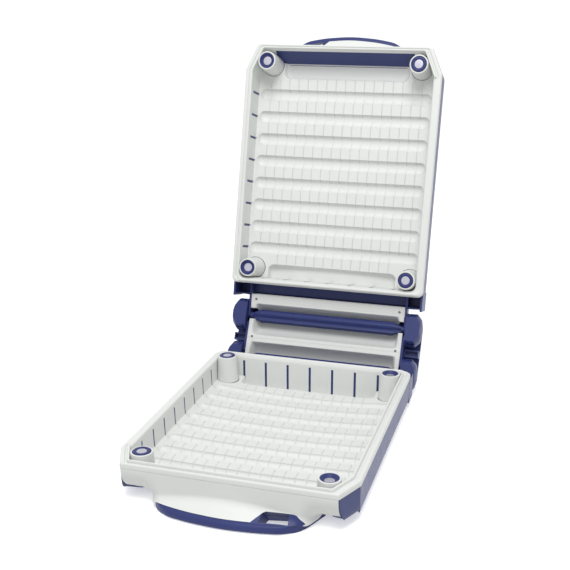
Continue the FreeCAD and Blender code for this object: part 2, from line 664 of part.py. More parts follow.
def make_ladders():
    """Blue end brackets between the upper and lower caps."""
    ladders = {}
    middle = "axis_height + axis_spacing / 2"
    back = "axis_y + cap_radius"
    for side, x in (("left", ("-cap_outer", "-cap_inner")), ("right", ("cap_inner", "cap_outer"))):
        name = "spine_bracket_" + side
        web = box(name + "_web", x, ("%s - cover_wall" % back, back),
                  ("axis_height", "axis_height + axis_spacing"))
        block = box(name + "_block", x, ("axis_y + ladder_front", back),
                    ("%s - ladder_half" % middle, "%s + ladder_half" % middle))
        recess = box(name + "_recess", ("%s + recess_edge" % x[0], "%s - recess_edge" % x[1]),
                     ("axis_y + ladder_front - 1", "axis_y + ladder_front + ladder_recess"),
                     ("%s - ladder_half + ladder_rung" % middle, "%s + ladder_half - ladder_rung" % middle))
        drums = [
            cylinder("%s_drum_%s" % (name, level), "cap_radius + end_web_gap", "%s - 1" % x[0], "axis_y", z,
                     "cap_outer - cap_inner + 2", ALONG_X)
            for level, z in spine_levels()
        ]
        ladders[name] = cut(name, fuse(name + "_solid", [web, block]), [recess] + drums)
    return ladders


def swing(angle, y, z):
    """A turn about a line along X through the given point."""
    return Placement(Vector(0, 0, 0), Rotation(Vector(1, 0, 0), angle), Vector(0, y, z))


def make_tray(tray):
    pieces = {
        tray + "_shell": make_shell(tray),
        tray + "_liner": make_liner(tray),
        tray + "_window_panel": make_window_panel(tray),
        tray + "_front_fascia": make_fascia(tray),
        tray + "_handle_grip": make_handle(tray),
        tray + "_post_plugs": make_inserts(tray, "plug", "plug_top", post_spots()[0::2]),
        tray + "_post_sockets": make_inserts(tray, "socket", "socket_floor", post_spots()[1::2]),
        tray + "_magnets": make_discs(tray),
        tray + "_hinge_strip": make_strip(tray),
        tray + "_strip_screws": make_strip_screws(tray),
        tray + "_hinge_rod": make_rod(tray),
    }
    pieces.update(make_posts(tray))
    return pieces


def make_spine():
    pieces = {"spine_cover": make_cover(), "spine_panel": make_panel(), "spine_screws": make_spine_screws()}
    pieces.update(make_caps())
    pieces.update(make_side_plates())
    pieces.update(make_ladders())
    return pieces


axis_y = number("axis_y")
lower_z = number("axis_height")
upper_z = number("axis_height + axis_spacing")
turned_over = Placement(Vector(0, 0, 2 * number("mating_height")), Rotation(Vector(0, 1, 0), 180))
spine_open = swing(-SPINE_SWING, axis_y, lower_z)
lid_open = spine_open.multiply(swing(-LID_SWING, axis_y, upper_z)).multiply(turned_over)

nodes = {}
for pieces, placement in ((make_tray("base"), Placement()), (make_tray("lid"), lid_open),
                          (make_spine(), spine_open)):
    for name, solid in pieces.items():
        solid.Label = name
        nodes[name] = (solid, placement)
doc.recompute()
for solid, placement in nodes.values():
    solid.Placement = placement.multiply(solid.Placement)
doc.recompute()

for item in doc.Objects:
    if "Invalid" in item.State or "Error" in item.State:
        raise RuntimeError("failed: %s" % item.Name)
os.makedirs("parts", exist_ok=True)
for name, (solid, placement) in nodes.items():
    shape = solid.Shape
    if shape.isNull() or not shape.isValid():
        raise RuntimeError("bad shape: %s" % name)
    shape.exportStep("parts/%s.step" % name)
    print(name, len(shape.Solids), round(shape.Volume))
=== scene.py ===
"""Looks of the hinged two-tray case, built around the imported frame.

Both trays are alike, so every tray piece is made once in the lower tray's own place (millimetres,
+Y towards the hinge, +Z up) and then put on the base and, turned over and swung open, on the lid.
The spine's pieces are made upright, in the closed case's place, and leaned back with it.
"""
import json
import math
import bmesh
import bpy
import numpy as np
from mathutils import Matrix, Vector


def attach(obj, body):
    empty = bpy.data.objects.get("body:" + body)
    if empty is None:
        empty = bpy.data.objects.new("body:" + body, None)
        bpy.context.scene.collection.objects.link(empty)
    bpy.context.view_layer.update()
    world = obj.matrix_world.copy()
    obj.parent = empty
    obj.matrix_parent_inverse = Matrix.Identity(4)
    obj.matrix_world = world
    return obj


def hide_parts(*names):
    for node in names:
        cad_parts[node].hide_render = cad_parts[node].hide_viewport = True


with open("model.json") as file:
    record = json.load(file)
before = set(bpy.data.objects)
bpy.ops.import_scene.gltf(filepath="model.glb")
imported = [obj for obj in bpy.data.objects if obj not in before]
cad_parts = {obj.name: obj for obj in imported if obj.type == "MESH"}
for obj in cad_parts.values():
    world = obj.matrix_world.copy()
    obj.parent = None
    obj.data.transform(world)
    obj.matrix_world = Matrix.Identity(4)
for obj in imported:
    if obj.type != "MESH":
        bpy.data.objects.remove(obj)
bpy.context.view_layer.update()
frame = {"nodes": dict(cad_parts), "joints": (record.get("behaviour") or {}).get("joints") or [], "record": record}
MM = 0.001

# ---------------------------------------------------------------- sizes, in millimetres
HALF_WIDTH = 129.5
FRONT, REAR = -157.5, 156.3
CORNER_X, CORNER_Y = 115.0, -125.1
MATING = 52.0  # the plane where the two trays would meet
RIM_FOOT, RIM_TOP, LIP_TOP = 41.0, 47.5, 50.0
UNDER_RADIUS = 29.5
FLOOR, FLOOR_THICKNESS, FLOOR_HALF, FLOOR_INSET = 19.6, 1.8, 117.3, 13.5
DISH_FRONT, DISH_GAIN, DISH_HALF = 2.0, 3.4, 113.0
CHANNELS = [29.2 * i - 96.5 for i in range(8)]
CHANNEL_HALF, CHANNEL_STRAIGHT, CHANNEL_DEPTH = 7.75, 107.0, 5.2
REAR_TROUGH, FRONT_TROUGH = 129.3, -118.4
TROUGH_CORNER, TROUGH_SIDE = 9.0, 6.0
# Each end trough: where it starts, the way it goes, half its length, its depth below the floor
TROUGHS = ((REAR_TROUGH, 1, 88.0, 12.0), (FRONT_TROUGH, -1, 84.0, 4.9))
GRID_PITCH, GRID_WIDTH, GRID_DEPTH, GRID_LINES, GRID_FULL = 12.75, 0.8, 1.15, 8, 108.0
SLOT_WIDTH, SLOT_LOW, SLOT_HIGH, REAR_SLOT_LOW = 3.0, 19.2, 41.3, 7.0
REAR_SLOTS = [29.6 * (i - 3) for i in range(7)]
WINDOW_HALF, WINDOW_LOW, WINDOW_HIGH = 92.0, 15.9, 42.6
POSTS = {"front_left": (-100.0, -135.4), "front_right": (100.0, -135.4),
         "rear_left": (-106.7, 135.4), "rear_right": (106.7, 135.4)}
POST_TOP, POST_BOTTOM, POST_FOOT_RADIUS, POST_TOP_RADIUS = 51.8, 18.4, 14.0, 11.85
EDGE_ROUND, CAP_ROUND = 0.5, 0.35
TIP = 0.001  # radius at a turned piece's ends, where tidy() joins the points into one

spine_joint = next(j for j in frame["joints"] if j["child"] == "spine")
lid_joint = next(j for j in frame["joints"] if j["child"] == "lid")
AXIS_Y, AXIS_Z = (v / MM for v in spine_joint["pos_m"][1:])
SPACING = math.hypot(*(a - b for a, b in zip(lid_joint["pos_m"][1:], spine_joint["pos_m"][1:]))) / MM
SPINE_SWING = math.radians(spine_joint["range_deg"][1])
LID_SWING = math.radians(lid_joint["range_deg"][1])


def swing(angle, y, z):
    """A turn about a line along X."""
    return Matrix.Translation((0, y, z)) @ Matrix.Rotation(angle, 4, "X") @ Matrix.Translation((0, -y, -z))


TURNED_OVER = Matrix.Translation((0, 0, 2 * MATING)) @ Matrix.Rotation(math.pi, 4, "Y")
SPINE_PLACE = swing(-SPINE_SWING, AXIS_Y, AXIS_Z)
LID_PLACE = SPINE_PLACE @ swing(-LID_SWING, AXIS_Y, AXIS_Z + SPACING) @ TURNED_OVER


# ---------------------------------------------------------------- materials
class Look:
    """A material with its shader and the textures that feed it, all in the piece's own coordinates."""

    def __init__(self, name):
        self.material = bpy.data.materials.new(name)
        self.material.use_nodes = True
        self.nodes, self.links = self.material.node_tree.nodes, self.material.node_tree.links
        self.shader = self.nodes["Principled BSDF"]
        self.place = self.nodes.new("ShaderNodeTexCoord")

    def noise(self, scale, detail):
        texture = self.nodes.new("ShaderNodeTexNoise")
        texture.inputs["Scale"].default_value = scale
        texture.inputs["Detail"].default_value = detail
        self.links.new(self.place.outputs["Object"], texture.inputs["Vector"])
        return texture.outputs["Fac"]

    def tint(self, source, low, high, start=0.0, end=1.0):
        """Colours the surface between two tones."""
        ramp = self.nodes.new("ShaderNodeValToRGB")
        for element, position, tone in zip(ramp.color_ramp.elements, (start, end), (low, high)):
            element.position = position
            element.color = list(tone) + [1]
        self.links.new(source, ramp.inputs["Fac"])
        self.links.new(ramp.outputs["Color"], self.shader.inputs["Base Color"])

    def gloss(self, source, low, high):
        """Spreads the roughness between two values."""
        spread = self.nodes.new("ShaderNodeMapRange")
        spread.inputs["To Min"].default_value = low
        spread.inputs["To Max"].default_value = high
        self.links.new(source, spread.inputs["Value"])
        self.links.new(spread.outputs["Result"], self.shader.inputs["Roughness"])

    def relief(self, source, strength):
        """Raises a fine grain."""
        bump = self.nodes.new("ShaderNodeBump")
        bump.inputs["Strength"].default_value = strength
        bump.inputs["Distance"].default_value = 0.2 * MM
        self.links.new(source, bump.inputs["Height"])
        self.links.new(bump.outputs["Normal"], self.shader.inputs["Normal"])


def plastic(name, colour, roughness, mottle, grain, specular=0.5):
    """Moulded plastic: a faint cloudiness in the colour, uneven gloss and a fine eroded grain."""
    look = Look(name)
    dark = [c * (1 - mottle) for c in colour]
    light = [min(1, c * (1 + mottle)) for c in colour]
    look.tint(look.noise(22.0, 4.0), dark, light, 0.3, 0.7)
    look.gloss(look.noise(90.0, 6.0), roughness - 0.06, roughness + 0.08)
    look.relief(look.noise(1500.0, 2.0), grain)
    look.shader.inputs["Specular IOR Level"].default_value = specular
    return look.material


def metal(name, colour, roughness, scale):
    """Worn metal: one noise clouds both the colour and the polish."""
    look = Look(name)
    wear = look.noise(scale, 5.0)
    look.tint(wear, [c * 0.86 for c in colour], colour)
    look.gloss(wear, roughness - 0.05, roughness + 0.1)
    look.shader.inputs["Metallic"].default_value = 0.55
    return look.material


WHITE = plastic("white_plastic", (0.70, 0.715, 0.695), 0.45, 0.012, 0.12)
NAVY = plastic("navy_plastic", (0.030, 0.042, 0.155), 0.36, 0.05, 0.15, 0.28)
GRIP = plastic("navy_grip", (0.029, 0.040, 0.150), 0.42, 0.06, 0.30, 0.28)
SATIN = metal("satin_metal", (0.52, 0.52, 0.60), 0.34, 240.0)
DARK = metal("dark_screw", (0.02, 0.02, 0.03), 0.45, 400.0)
MATERIALS = {"white_plastic": WHITE, "navy_plastic": NAVY, "navy_grip": GRIP,
             "satin_metal": SATIN, "dark_screw": DARK}


# ---------------------------------------------------------------- mesh helpers
def mesh_object(name, points, faces):
    """A mesh object in metres from points in millimetres."""
    mesh = bpy.data.meshes.new(name)
    mesh.from_pydata([tuple(float(v) for v in p) for p in points], [], faces)
    mesh.transform(Matrix.Scale(MM, 4))
    mesh.validate()
    piece = bpy.data.objects.new(name, mesh)
    bpy.context.scene.collection.objects.link(piece)
    return piece


class Shape:
    """Points and faces of one piece, added to island by island."""

    def __init__(self):
        self.points = []
        self.faces = []

    def add(self, points, faces):
        """Adds points and the faces that number them."""
        start = len(self.points)
        self.points += [tuple(p) for p in points]
        self.faces += [tuple(start + i for i in face) for face in faces]

    def grid(self, rows, wrap_rows=False, wrap_columns=False, flip=False):
        """Quads between rows of equal length."""
        height, width = len(rows), len(rows[0])
        faces = []
        for r in range(height if wrap_rows else height - 1):
            for c in range(width if wrap_columns else width - 1):
                a, b = r * width + c, r * width + (c + 1) % width
                d, e = ((r + 1) % height) * width + c, ((r + 1) % height) * width + (c + 1) % width
                faces.append((a, d, e, b) if flip else (a, b, e, d))
        self.add([p for row in rows for p in row], faces)

    def cap(self, loop, flip=False):
        """One face over a loop of points."""
        order = list(range(len(loop)))
        self.add(loop, [tuple(reversed(order)) if flip else tuple(order)])

    def bar(self, loops):
        """A closed bar through loops of points, with a cap on both ends."""
        self.grid(loops, wrap_columns=True)
        self.cap(loops[0])
        self.cap(loops[-1], True)

    def block(self, low, high):
        """A box from its lowest to its highest corner."""
        x, y, z = zip(low, high)
        points = [(a, b, c) for a in x for b in y for c in z]
        sides = [(0, 1, 3, 2), (4, 6, 7, 5), (0, 4, 5, 1), (2, 3, 7, 6), (0, 2, 6, 4), (1, 5, 7, 3)]
        self.add(points, sides)

    def lathe(self, profile, centre, sides=48, direction="+Z"):
        """Turns (radius, height) pairs about a line; the profile starts and ends on that line."""
        rows = []
        for radius, height in profile:
            row = []
            for i in range(sides):
                a = 2 * math.pi * i / sides
                u, v = radius * math.cos(a), radius * math.sin(a)
                offset = {"+Z": (u, v, height), "+X": (height, u, v), "-Y": (u, -height, v)}[direction]
                row.append(tuple(c + o for c, o in zip(centre, offset)))
            rows.append(row)
        self.grid(rows, wrap_columns=True)

    def object(self, name):
        """The finished piece."""
        return tidy(mesh_object(name, self.points, self.faces))


def tidy(piece):
    """Joins doubled points and turns every face outwards."""
    work = bmesh.new()
    work.from_mesh(piece.data)
    bmesh.ops.remove_doubles(work, verts=work.verts, dist=0.01 * MM)
    bmesh.ops.recalc_face_normals(work, faces=work.faces)
    work.to_mesh(piece.data)
    work.free()
    return piece


def soften(piece, width):
    """Rounds the piece's hard edges."""
    work = bmesh.new()
    work.from_mesh(piece.data)
    bmesh.ops.remove_doubles(work, verts=work.verts, dist=0.005 * MM)
    bmesh.ops.dissolve_limit(work, angle_limit=math.radians(0.7), verts=work.verts, edges=work.edges)
    least = math.radians(30.0)
    sharp = [e for e in work.edges if len(e.link_faces) == 2 and e.calc_face_angle(0) > least]
    bmesh.ops.bevel(work, geom=sharp, offset=width * MM, segments=2, profile=0.5, affect="EDGES",
                    clamp_overlap=True)
    work.to_mesh(piece.data)
    work.free()
    return piece


def shade(piece, angle):
    """Smooths the shading, but leaves edges sharper than the angle crisp."""
    for polygon in piece.data.polygons:
        polygon.use_smooth = True
    piece.data.set_sharp_from_angle(angle=math.radians(angle))
    normals = piece.modifiers.new("even_normals", "WEIGHTED_NORMAL")
    normals.keep_sharp = True
    return piece


def applied(piece):
    """Keeps the result of the piece's modifiers as its mesh."""
    bpy.context.view_layer.update()
    evaluated = piece.evaluated_get(bpy.context.evaluated_depsgraph_get())
    mesh = bpy.data.meshes.new_from_object(evaluated)
    piece.modifiers.clear()
    piece.data = mesh
    return piece


def combine(piece, other, operation):
    """Joins, cuts or crosses two closed meshes and keeps only the result."""
    change = piece.modifiers.new("combine", "BOOLEAN")
    change.operation = operation
    change.solver = "EXACT"
    change.object = other
    applied(piece)
    bpy.data.objects.remove(other)
    return piece


def subtract(piece, cutter):
    return combine(piece, cutter, "DIFFERENCE")


def moved(mesh, place):
    """Moves a mesh by a matrix that is in millimetres."""
    metres = Matrix.Scale(MM, 4)
    mesh.transform(metres @ place @ metres.inverted())


def put(piece, body, slot, *nodes):
    """Gives a finished piece its material, its body and the CAD nodes that it stands for."""
    piece.data.materials.clear()
    piece.data.materials.append(MATERIALS[slot])
    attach(piece, body)
    if nodes:
        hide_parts(*nodes)


def put_on_trays(piece, angle, kind, slot, *nodes):
    """Shades a tray piece, made in place on the base, and puts it on both trays."""
    shade(piece, angle)
    twin = piece.copy()
    twin.data = piece.data.copy()
    bpy.context.scene.collection.objects.link(twin)
    moved(twin.data, LID_PLACE)
    for tray, copy in (("base", piece), ("lid", twin)):
        copy.name = "%s_%s" % (tray, kind)
        put(copy, tray, slot, *["%s_%s" % (tray, node) for node in nodes])


def put_on_spine(piece, angle, kind, slot, node):
    """Shades a piece made upright, turns it to the spine's place and lets it stand for its node."""
    shade(piece, angle)
    moved(piece.data, SPINE_PLACE)
    piece.name = "spine_" + kind
    put(piece, "spine", slot, node)


# ---------------------------------------------------------------- the tray's outline
EDGE_KINDS = ("front", "corner", "right", "rear", "left", "corner")


def outline_edges():
    """Outward normal and distance of each straight side, in turn from the front."""
    run, rise = HALF_WIDTH - CORNER_X, CORNER_Y - FRONT
    length = math.hypot(run, rise)
    nx, ny = rise / length, -run / length
    c = nx * HALF_WIDTH + ny * CORNER_Y
    return [((0, -1), -FRONT), ((nx, ny), c), ((1, 0), HALF_WIDTH), ((0, 1), REAR),
            ((-1, 0), HALF_WIDTH), ((-nx, ny), c)]


EDGES = outline_edges()


def ring(offsets, heights, radius_front=3.0, radius_rear=7.0, steps=5):
    """One loop round the tray, drawn in from each side by its own amount, with rounded corners."""
    lines = [(n, c - o) for (n, c), o in zip(EDGES, offsets)]
    points = []
    for i in range(6):
        (n1, c1), (n2, c2) = lines[i], lines[(i + 1) % 6]
        det = n1[0] * n2[1] - n1[1] * n2[0]
        corner = Vector(((c1 * n2[1] - c2 * n1[1]) / det, (n1[0] * c2 - n2[0] * c1) / det))
        radius = radius_rear if i in (2, 3) else radius_front
        turn = math.acos(max(-1, min(1, n1[0] * n2[0] + n1[1] * n2[1])))
        centre = corner - (Vector(n1) + Vector(n2)) * (radius / (1 + math.cos(turn)))
        start = math.atan2(n1[1], n1[0])
        for k in range(steps + 1):
            t = k / steps
            a = start + turn * t
            z = heights[i] * (1 - t) + heights[(i + 1) % 6] * t
            points.append((centre.x + radius * math.cos(a), centre.y + radius * math.sin(a), z))
    return points


def swept(profiles, **corner):
    """Loops for side profiles: each kind of side has as many (offset, height) points as the others."""
    loops = []
    for points in zip(*[profiles[kind] for kind in EDGE_KINDS]):
        offsets, heights = zip(*points)
        loops.append(ring(offsets, heights, **corner))
    return loops


# ---------------------------------------------------------------- liner
def rim_profiles():
    """Cross-sections of the rim and wall, from the skirt's foot over the crest and down inside."""
    skirt = [(1.4, RIM_FOOT), (0.3, RIM_FOOT), (0.0, 41.4), (0.0, 45.2), (0.25, 46.3), (0.9, 47.15)]
    lip = [(1.8, RIM_TOP), (4.2, RIM_TOP), (4.8, 47.2), (5.1, 46.5), (5.6, 46.1), (7.1, 46.1), (7.5, 46.5),
           (7.7, 47.3), (7.8, 49.0), (8.1, 49.7), (8.8, LIP_TOP), (9.4, LIP_TOP), (10.0, 49.7), (10.3, 49.0)]
    front_lip = [(1.4, 47.4), (2.0, 47.2), (2.3, 46.9), (2.5, 46.4), (2.8, 46.1), (3.2, 46.1), (3.5, 46.4),
                 (3.6, 47.2), (3.65, 49.0), (3.9, 49.7), (4.4, LIP_TOP), (4.9, LIP_TOP), (5.4, 49.7),
                 (5.7, 49.0)]
    plain = [(1.8 + 0.55 * i, RIM_TOP) for i in range(12)] + [(9.2, 47.2), (10.0, 46.4)]
    rear = [(1.3, 48.0), (1.7, 48.8), (2.2, 49.4), (2.8, 49.8), (3.2, 49.95), (3.5, LIP_TOP), (3.8, LIP_TOP),
            (4.1, LIP_TOP), (4.4, 49.95), (4.8, 49.8), (5.3, 49.4), (5.9, 48.5), (6.6, 47.0), (7.2, 45.2)]
    side_wall = [(10.5, 44.0), (11.1, 25.0), (11.2, 21.4), (11.4, 20.3), (11.9, 19.75), (13.2, FLOOR),
                 (13.2, 18.0), (9.6, 18.0), (8.6, RIM_FOOT)]
    rear_wall = [(7.5, 44.0), (8.0, 25.0), (8.05, 20.0), (8.1, 15.0), (8.15, 11.0), (8.2, 8.0), (8.2, 6.2),
                 (6.4, 6.2), (5.6, RIM_FOOT)]
    front_wall = [(7.2, 44.0), (16.1, 25.5), (17.0, 23.6), (18.2, 21.2), (19.3, 18.8), (20.4, 16.4),
                  (20.5, 12.4), (18.5, 12.4), (4.6, RIM_FOOT)]
    corner_wall = [(10.3, 44.0), (13.0, 25.0), (13.3, 22.0), (13.8, 20.5), (14.6, 19.8), (16.0, FLOOR),
                   (16.0, 18.0), (11.6, 18.0), (8.0, RIM_FOOT)]
    return {"front": skirt + front_lip + front_wall, "corner": skirt + lip + corner_wall,
            "right": skirt + lip + side_wall, "left": skirt + plain + side_wall,
            "rear": skirt + rear + rear_wall}


def post_cutter(clearance, low, high):
    """The four posts' cones, a little larger, between two heights."""
    shape = Shape()
    slope = (POST_TOP_RADIUS - POST_FOOT_RADIUS) / (POST_TOP - POST_BOTTOM)
    radii = [POST_FOOT_RADIUS + slope * (z - POST_BOTTOM) + clearance for z in (low, high)]
    for x, y in POSTS.values():
        shape.lathe([(TIP, low), (radii[0], low), (radii[1], high), (TIP, high)], (x, y, 0), 64)
    return shape.object("post_cutter")


def add_slots(shape, side_reach, rear_reach, growth):
    """One upright block at each of the liner's slots, between two x in its sides and two y in its rear."""
    half = SLOT_WIDTH / 2 + growth
    for y in CHANNELS:
        for side in (-1, 1):
            near, far = sorted(side * x for x in side_reach)
            shape.block((near, y - half, SLOT_LOW - growth), (far, y + half, SLOT_HIGH + growth))
    near, far = rear_reach
    for x in REAR_SLOTS:
        shape.block((x - half, near, REAR_SLOT_LOW - growth), (x + half, far, SLOT_HIGH + growth))


def make_liner_walls():
    """The liner's rim and walls, with the slots, the front window and room for the posts."""
    shape = Shape()
    shape.grid(swept(rim_profiles()), wrap_rows=True, wrap_columns=True)
    walls = shape.object("liner_walls")
    slots = Shape()
    add_slots(slots, (112.0, 124.0), (144.0, 153.0), 0.0)
    slots.block((-WINDOW_HALF, -152.5, WINDOW_LOW), (WINDOW_HALF, -134.0, WINDOW_HIGH))
    walls = subtract(walls, slots.object("slot_cutter"))
    return subtract(walls, post_cutter(0.5, 10.0, 49.0))


def make_slot_ribs():
    """Navy ribs that stand in the liner's slots a little below its surface."""
    shape = Shape()
    add_slots(shape, (119.0, 122.5), (148.9, 152.0), 0.1)
    return shape.object("slot_ribs")


def make_window_panel():
    """Blue panel behind the window in the liner's front wall."""
    profile = [(-151.6, 43.6), (-150.5, 43.6), (-142.1, 25.5), (-140.2, 21.2), (-138.4, 16.4),
               (-138.3, 13.0), (-139.6, 13.0), (-139.8, 16.0), (-141.6, 21.0), (-143.4, 25.2)]
    half = WINDOW_HALF + 4.0
    shape = Shape()
    shape.bar([[(x, y, z) for y, z in profile] for x in (-half, half)])
    return subtract(shape.object("window"), post_cutter(0.3, 5.0, 49.0))


def smooth(t):
    """A soft step from 0 to 1."""
    t = np.clip(t, 0, 1)
    return t * t * (3 - 2 * t)


def quarter_round(inside, side):
    """How far down, from 0 to 1, a hollow is that curves in like a quarter circle over its side."""
    u = np.clip(inside / side, 0, 1)
    return np.sqrt(1 - (1 - u) ** 2)


def dish(x, y):
    """How far the pressed floor sags in its middle: more towards the rear, nothing at the walls."""
    middle = DISH_FRONT + DISH_GAIN * smooth((y + 95.0) / 165.0)
    return middle * (1 - np.clip(np.abs(x) / DISH_HALF, 0, 1) ** 2) * smooth((150.0 - y) / 14.0)


def floor_height(x, y):
    """Height of the pressed floor: rounded channels, end troughs and a fine grid on the strips."""
    depth = np.zeros_like(x)
    for centre in CHANNELS:
        beyond = np.maximum(np.abs(x) - CHANNEL_STRAIGHT, 0)
        inside = CHANNEL_HALF - np.hypot(beyond, y - centre)
        depth = np.maximum(depth, CHANNEL_DEPTH * quarter_round(inside, CHANNEL_HALF))
    for near, towards, half, deep in TROUGHS:
        along_y, along_x = (y - near) * towards, half - np.abs(x)
        dx, dy = np.maximum(TROUGH_CORNER - along_x, 0), np.maximum(TROUGH_CORNER - along_y, 0)
        inside = np.minimum(along_y, along_x)
        inside = np.where((dx > 0) & (dy > 0), TROUGH_CORNER - np.hypot(dx, dy), inside)
        depth = np.maximum(depth, (deep - dish(x, y)) * quarter_round(inside, TROUGH_SIDE))
    lines = np.where(np.abs(y) < GRID_FULL, GRID_LINES, GRID_LINES - 2)
    nearest = np.clip(np.round(x / GRID_PITCH), -lines, lines) * GRID_PITCH
    groove = 1 - smooth(np.abs(x - nearest) / GRID_WIDTH)
    ends = smooth((REAR_TROUGH + 0.5 - y) / 0.8) * smooth((y - FRONT_TROUGH + 0.5) / 0.8)
    reach = ends * (1 - smooth((depth - 3.5) / 2.5))
    return FLOOR - dish(x, y) - depth - GRID_DEPTH * groove * reach


def spaced(values):
    """Sorted values, without those that nearly repeat the one before."""
    ordered = np.array(sorted(round(v, 3) for v in values))
    return ordered[np.concatenate([[True], np.diff(ordered) > 0.12])]


def floor_columns():
    """X of the floor's points: close together at the grid's lines and at the hollows' ends."""
    columns = set()
    for k in range(-GRID_LINES, GRID_LINES + 1):
        steps = (-0.75, -0.5, -0.25, 0.0, 0.25, 0.5, 0.75, 3.5, 6.4, 9.2)
        columns |= {k * GRID_PITCH + step for step in steps}
    columns |= {side * (104.5 + 0.75 * i) for i in range(18) for side in (-1, 1)}
    columns |= {side * (72.0 + 1.0 * i) for i in range(18) for side in (-1, 1)}
    return spaced(x for x in columns if abs(x) <= FLOOR_HALF)


def floor_rows():
    """Y of the floor's points: close together at the hollows' sides."""
    rows = {147.0, 148.4, -137.0, -138.5}
    steps = (-1.2, -0.3, 0.0, 0.15, 0.4, 0.8, 1.4, 2.2, 3.2, 4.4, 5.8)
    for centre in CHANNELS:
        rows |= {centre + side * (CHANNEL_HALF - step) for step in steps for side in (-1, 1)} | {centre}
        rows |= {centre + 14.6 + step for step in (-2.5, 0.0, 2.5)}
    steps = (-0.8, -0.3, 0.0, 0.2, 0.5, 0.9, 1.5, 2.3, 3.3, 4.5, 6.0, 8.0, 11.0, 15.0)
    rows |= {REAR_TROUGH + step for step in steps} | {FRONT_TROUGH - step for step in steps}
    return spaced(rows)


def make_floor():
    """The liner's pressed floor, cut to the tray's outline and round the posts."""
    xs, ys = floor_columns(), floor_rows()
    gx, gy = np.meshgrid(xs, ys)
    points = np.stack([gx, gy, floor_height(gx, gy)], -1).reshape(-1, 3)
    (nx, ny), limit = EDGES[1]
    inside = nx * np.abs(gx) + ny * gy < limit - FLOOR_INSET
    width = len(xs)
    faces = []
    for r in range(len(ys) - 1):
        for c in range(width - 1):
            if inside[r:r + 2, c:c + 2].all():
                a = r * width + c
                faces.append((a, a + 1, a + width + 1, a + width))
    floor = mesh_object("liner_floor", points, faces)
    work = bmesh.new()
    work.from_mesh(floor.data)
    loose = [v for v in work.verts if not v.link_faces]
    bmesh.ops.delete(work, geom=loose, context="VERTS")
    work.to_mesh(floor.data)
    work.free()
    skin = floor.modifiers.new("skin", "SOLIDIFY")
    skin.thickness = FLOOR_THICKNESS * MM
    skin.offset = -1
    applied(floor)
    return subtract(floor, post_cutter(0.55, 8.0, 30.0))


# ---------------------------------------------------------------- shell
def under_arc(start, radius, top, end_degrees, steps):
    """Offsets and heights of a wall that leaves the vertical in one arc and curves under."""
    angles = [math.radians(end_degrees) * i / steps for i in range(steps + 1)]
    return [(start + radius * (1 - math.cos(a)), top - radius * math.sin(a)) for a in angles]


def shell_profiles(skin):
    """Sections of the outer shell from its top edge to its flat foot, moved in by the skin."""
    front = [(0.9, RIM_FOOT)] + under_arc(0.9, UNDER_RADIUS, 40.0, 74.0, 12)
    front += [(33.0, 8.0), (44.0, 3.0), (57.0, 0.0)]
    corner = [(0.6, RIM_FOOT), (0.6, 38.0), (0.6, 35.0), (0.65, 31.0), (0.7, 27.0), (0.8, 23.0), (1.0, 19.0),
              (1.3, 16.0), (1.8, 13.8), (2.8, 12.3), (4.4, 11.3), (8.0, 10.1), (14.0, 8.6), (20.0, 7.2),
              (30.0, 4.4), (40.0, 1.4), (48.0, 0.0)]
    side = [(0.6, RIM_FOOT), (0.6, 38.0), (0.6, 34.0), (0.6, 30.0), (0.62, 26.0), (0.65, 22.0), (0.7, 18.0),
            (0.8, 14.5), (1.1, 11.5), (1.7, 9.3), (2.8, 7.6), (4.8, 6.0), (8.0, 4.2), (11.5, 2.6),
            (15.5, 1.2), (19.5, 0.3), (22.5, 0.0)]
    rear = [(0.6, RIM_FOOT), (0.6, 38.0), (0.6, 34.0), (0.6, 30.0), (0.6, 26.0), (0.6, 22.0), (0.7, 18.0),
            (1.0, 14.0), (1.5, 10.5), (2.2, 7.5), (3.2, 5.0), (4.4, 3.0), (5.8, 1.6), (7.2, 0.8), (8.6, 0.3),
            (9.8, 0.1), (11.0, 0.0)]
    profiles = {"front": front, "corner": corner, "right": side, "left": side, "rear": rear}
    moved_in = {}
    for kind, points in profiles.items():
        row = [(points[0][0] + skin, points[0][1])]
        for i in range(1, len(points)):
            (o0, z0), (o1, z1) = points[i - 1], points[min(i + 1, len(points) - 1)]
            do, dz = o1 - o0, z1 - z0
            length = math.hypot(do, dz)
            row.append((points[i][0] - skin * dz / length, points[i][1] + skin * do / length))
        moved_in[kind] = row
    return moved_in


def make_shell():
    """The outer shell: a skin of even thickness, open at the top."""
    shape = Shape()
    outer = swept(shell_profiles(0.0), radius_front=2.5, radius_rear=7.0)
    inner = swept(shell_profiles(2.5), radius_front=2.0, radius_rear=5.0)
    shape.grid(outer, wrap_columns=True, flip=True)
    shape.grid(inner, wrap_columns=True)
    shape.grid([inner[0], outer[0]], wrap_columns=True, flip=True)
    shape.cap(outer[-1])
    shape.cap(inner[-1])
    return shape.object("shell")


# The hinge bay's blocks on the right, and those across the middle, as lowest and highest corners
BAY_SIDE = {"outer wall": ((126.0, 150.0, 7.0), (128.9, 174.6, 38.0)),
            "arm's root": ((105.9, 150.0, 2.0), (108.6, 172.4, 29.0)),
            "arm": ((105.9, 172.0, 14.6), (108.6, 201.0, 28.8)),
            "end wall": ((108.6, 170.4, 6.0), (126.2, 172.4, 29.0)),
            "floor": ((105.9, 150.0, 6.0), (126.2, 172.4, 8.4))}
BAY_MIDDLE = {"shelf": ((-108.6, 150.0, 12.1), (108.6, 170.9, 14.6)),
              "foot": ((-110.0, 144.0, 0.0), (110.0, 172.4, 2.4)),
              "rear wall": ((-110.0, 168.4, 0.0), (110.0, 170.9, 14.6))}


